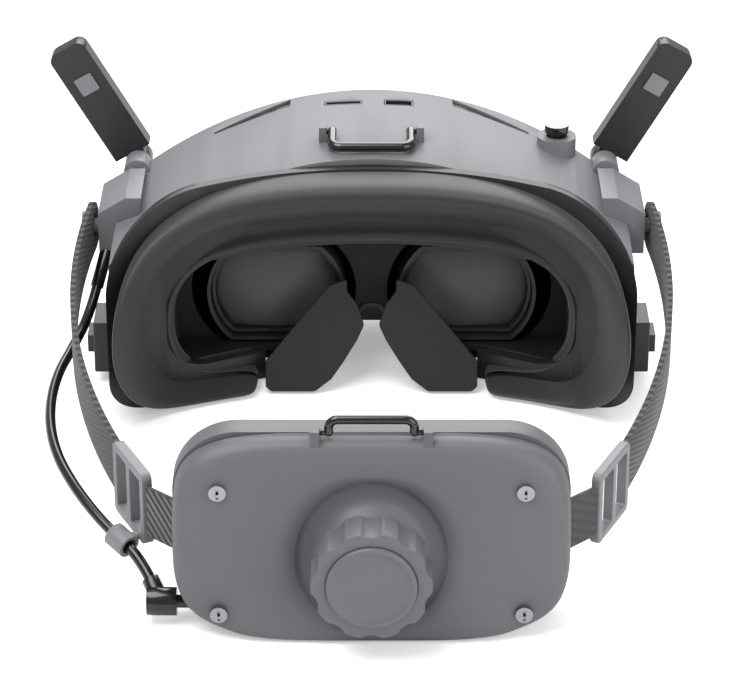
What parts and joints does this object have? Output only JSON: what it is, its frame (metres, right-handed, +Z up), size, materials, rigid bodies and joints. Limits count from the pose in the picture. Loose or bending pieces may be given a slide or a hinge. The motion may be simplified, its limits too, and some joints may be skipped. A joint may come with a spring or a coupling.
{
  "type": "fpv goggles",
  "caption": "Head-worn video goggles with a padded face ring, two eyepieces, two folding antennas, and a battery pack with a tightening dial on the headband.",
  "frame": {"origin": "under the middle of the whole object, on the surface that it stands on; the cable is left out of the middle", "axes": "+X to the wearer's right, +Y the way the wearer looks, +Z up"},
  "size_m": [0.209, 0.231, 0.106],
  "materials": {
    "shell_grey": "fine matte grain",
    "cover_black": "gloss",
    "black_plastic": "satin",
    "hinge_grey": "satin",
    "pad_leather": "soft coated fabric",
    "flap_rubber": "matte",
    "grille_metal": "fine mesh",
    "frame_metal": "satin",
    "steel": "machined",
    "gloss_black": "gloss",
    "lens_glass": "polished",
    "display_glass": "gloss",
    "board_green": "solder mask",
    "webbing": "ribbed weave",
    "pack_grey": "fine matte grain",
    "cell_wrap": "shrink film",
    "dial_grey": "satin",
    "gear_white": "moulded",
    "cable_rubber": "gloss"
  },
  "bodies": {
    "goggles": {"top_shell": "shell_grey", "bottom_shell": "shell_grey", "front_cover": "cover_black", "face_frame": "black_plastic", "face_pad": "pad_leather", "nose_flaps": "flap_rubber", "lens_mask": "black_plastic", "vent_grilles": "grille_metal", "port_frames": "frame_metal", "housing_screws": "steel", "eyepiece_rails": "steel", "main_board": "board_green", "fan_housing": "black_plastic", "antenna_bracket_left": "hinge_grey", "antenna_bracket_right": "hinge_grey", "antenna_pins": "steel", "strap_anchor_left": "hinge_grey", "strap_anchor_right": "hinge_grey", "side_latch_left": "black_plastic", "side_latch_right": "black_plastic", "cable_plug": "cable_rubber"},
    "fan": {"fan_rotor": "black_plastic"},
    "eyepiece_left": {"eyepiece_barrel_left": "black_plastic", "display_left": "display_glass"},
    "eyepiece_right": {"eyepiece_barrel_right": "black_plastic", "display_right": "display_glass"},
    "lens_group_left": {"lens_cell_left": "black_plastic", "lens_left": "lens_glass"},
    "lens_group_right": {"lens_cell_right": "black_plastic", "lens_right": "lens_glass"},
    "focus_left": {"focus_knob_left": "black_plastic"},
    "focus_right": {"focus_knob_right": "black_plastic"},
    "antenna_left": {"antenna_arm_left": "black_plastic", "antenna_cap_left": "black_plastic"},
    "antenna_right": {"antenna_arm_right": "black_plastic", "antenna_cap_right": "black_plastic"},
    "top_loop": {"top_bail": "gloss_black"},
    "stick_ring": {"stick_gimbal": "black_plastic"},
    "stick_rod": {"stick_stem": "black_plastic"},
    "stick_button": {"stick_cap": "black_plastic"},
    "latch_left": {"latch_tab_left": "black_plastic"},
    "latch_right": {"latch_tab_right": "black_plastic"},
    "headband": {"strap_left": "webbing", "strap_right": "webbing", "buckle_left": "hinge_grey", "buckle_right": "hinge_grey", "pack_webbing": "webbing", "pack_cover": "pack_grey", "pack_base": "pack_grey", "pack_cushion": "pad_leather", "battery_cells": "cell_wrap", "pack_screws": "steel", "cable": "cable_rubber", "cable_elbow": "cable_rubber"},
    "pack_loop": {"pack_bail": "gloss_black"},
    "dial": {"dial_knob": "dial_grey", "dial_cap": "dial_grey", "dial_pinion": "gear_white"},
    "rack_upper": {"rack_left": "gear_white"},
    "rack_lower": {"rack_right": "gear_white"}
  },
  "joints": [
    {"name": "headband_swing", "type": "hinge", "parent": "goggles", "child": "headband", "pos_m": [0, 0.0625, 0.0545], "axis": [-1, 0, 0], "range_deg": [-15, 50], "deforming": ["cable"]},
    {"name": "antenna_fold_right", "type": "hinge", "parent": "goggles", "child": "antenna_right", "pos_m": [0.077, 0.0945, 0.064], "axis": [0, 1, 0], "range_deg": [0, 135]},
    {"name": "antenna_fold_left", "type": "hinge", "parent": "goggles", "child": "antenna_left", "pos_m": [-0.077, 0.0945, 0.064], "axis": [0, -1, 0], "range_deg": [0, 135]},
    {"name": "eye_spacing_right", "type": "slide", "parent": "goggles", "child": "eyepiece_right", "axis": [1, 0, 0], "range_m": [-0.003, 0.0047]},
    {"name": "eye_spacing_left", "type": "slide", "parent": "goggles", "child": "eyepiece_left", "axis": [-1, 0, 0], "range_m": [-0.003, 0.0047]},
    {"name": "focus_turn_right", "type": "hinge", "parent": "eyepiece_right", "child": "focus_right", "pos_m": [0.0313, 0.0825, 0.004], "axis": [0, 0, 1], "range_deg": [-40, 40]},
    {"name": "focus_turn_left", "type": "hinge", "parent": "eyepiece_left", "child": "focus_left", "pos_m": [-0.0313, 0.0825, 0.004], "axis": [0, 0, -1], "range_deg": [-40, 40]},
    {"name": "lens_focus_right", "type": "slide", "parent": "eyepiece_right", "child": "lens_group_right", "axis": [0, 1, 0], "range_m": [-0.002, 0.002]},
    {"name": "lens_focus_left", "type": "slide", "parent": "eyepiece_left", "child": "lens_group_left", "axis": [0, 1, 0], "range_m": [-0.002, 0.002]},
    {"name": "fan_spin", "type": "hinge", "parent": "goggles", "child": "fan", "pos_m": [0, 0.084, 0.063], "axis": [0, 0, 1], "continuous": true},
    {"name": "top_bail_lift", "type": "hinge", "parent": "goggles", "child": "top_loop", "pos_m": [0, 0.0815, 0.0792], "axis": [-1, 0, 0], "range_deg": [0, 100]},
    {"name": "stick_tilt_x", "type": "hinge", "parent": "goggles", "child": "stick_ring", "pos_m": [0.061, 0.091, 0.0702], "axis": [1, 0, 0], "range_deg": [-8, 8], "stiffness_Nm_per_rad": 0.02},
    {"name": "stick_tilt_y", "type": "hinge", "parent": "stick_ring", "child": "stick_rod", "pos_m": [0.061, 0.091, 0.0702], "axis": [0, 1, 0], "range_deg": [-8, 8], "stiffness_Nm_per_rad": 0.02},
    {"name": "stick_press", "type": "slide", "parent": "stick_rod", "child": "stick_button", "axis": [0, 0, -1], "range_m": [0, 0.0005], "stiffness_N_per_m": 400},
    {"name": "latch_press_right", "type": "slide", "parent": "goggles", "child": "latch_right", "axis": [-1, 0, 0], "range_m": [0, 0.0015], "stiffness_N_per_m": 400},
    {"name": "latch_press_left", "type": "slide", "parent": "goggles", "child": "latch_left", "axis": [1, 0, 0], "range_m": [0, 0.0015], "stiffness_N_per_m": 400},
    {"name": "pack_bail_fold", "type": "hinge", "parent": "headband", "child": "pack_loop", "pos_m": [0, -0.087, 0.0593], "axis": [1, 0, 0], "range_deg": [-75, 75]},
    {"name": "dial_turn", "type": "hinge", "parent": "headband", "child": "dial", "pos_m": [0, -0.11, 0.025], "axis": [0, 1, 0], "range_deg": [0, 120]},
    {"name": "rack_upper_slide", "type": "slide", "parent": "headband", "child": "rack_upper", "axis": [1, 0, 0], "range_m": [0, 0.0133]},
    {"name": "rack_lower_slide", "type": "slide", "parent": "headband", "child": "rack_lower", "axis": [1, 0, 0], "range_m": [-0.0133, 0]}
  ],
  "couplings": [
    {"joint": "lens_focus_right", "follows": "focus_turn_right", "m_per_rad": 0.00276},
    {"joint": "lens_focus_left", "follows": "focus_turn_left", "m_per_rad": 0.00276},
    {"joint": "rack_upper_slide", "follows": "dial_turn", "m_per_rad": 0.0063},
    {"joint": "rack_lower_slide", "follows": "dial_turn", "m_per_rad": -0.0063}
  ]
}
